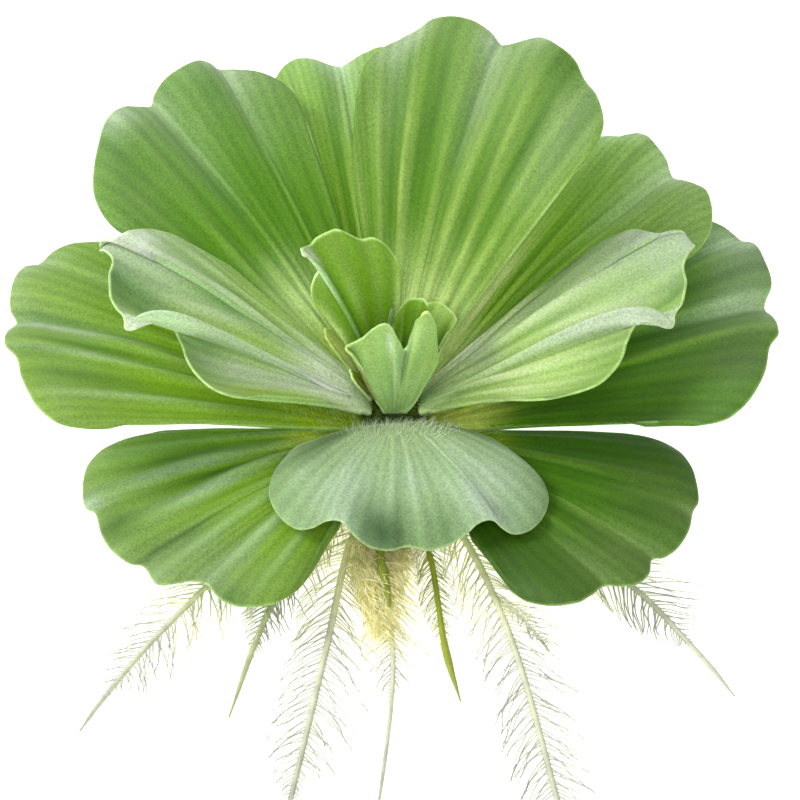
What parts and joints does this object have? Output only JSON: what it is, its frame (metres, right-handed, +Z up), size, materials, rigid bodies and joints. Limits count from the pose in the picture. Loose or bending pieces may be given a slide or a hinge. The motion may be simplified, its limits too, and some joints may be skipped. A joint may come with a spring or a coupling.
{
  "type": "water lettuce",
  "caption": "Picked water lettuce: an upright rosette of wedge-shaped ribbed leaves on a short crown, with feathery roots spread out on the surface in front of it.",
  "frame": {"origin": "middle of the crown's flat foot, on the surface that the plant stands on", "axes": "+Z up out of the rosette, -Y towards the front, where the roots are spread; units are metres"},
  "size_m": [0.1381, 0.1601, 0.0722],
  "materials": {
    "crown": "matte",
    "leaf": "satin",
    "pale_leaf": "satin",
    "young_leaf": "satin",
    "root": "matte",
    "green_root": "matte"
  },
  "bodies": {
    "root": {"crown": "crown", "leaf_back": "leaf", "leaf_back_left": "leaf", "leaf_behind": "leaf", "leaf_back_right": "leaf", "leaf_right": "leaf", "leaf_left": "leaf", "leaf_front_left": "leaf", "leaf_front_right": "leaf", "leaf_inner_left": "pale_leaf", "leaf_inner_right": "pale_leaf", "leaf_front": "pale_leaf", "young_left": "young_leaf", "young_front": "young_leaf", "young_back": "young_leaf", "young_right": "young_leaf", "young_bud": "young_leaf", "sheath": "young_leaf", "root_left_long": "root", "root_right_long": "root", "root_left_side": "root", "root_right_side": "root", "root_middle_long": "root", "root_back_left": "root", "root_back_right": "root", "root_tuft": "root", "root_left_small": "green_root", "root_right_small": "green_root", "root_short": "green_root"}
  },
  "joints": []
}
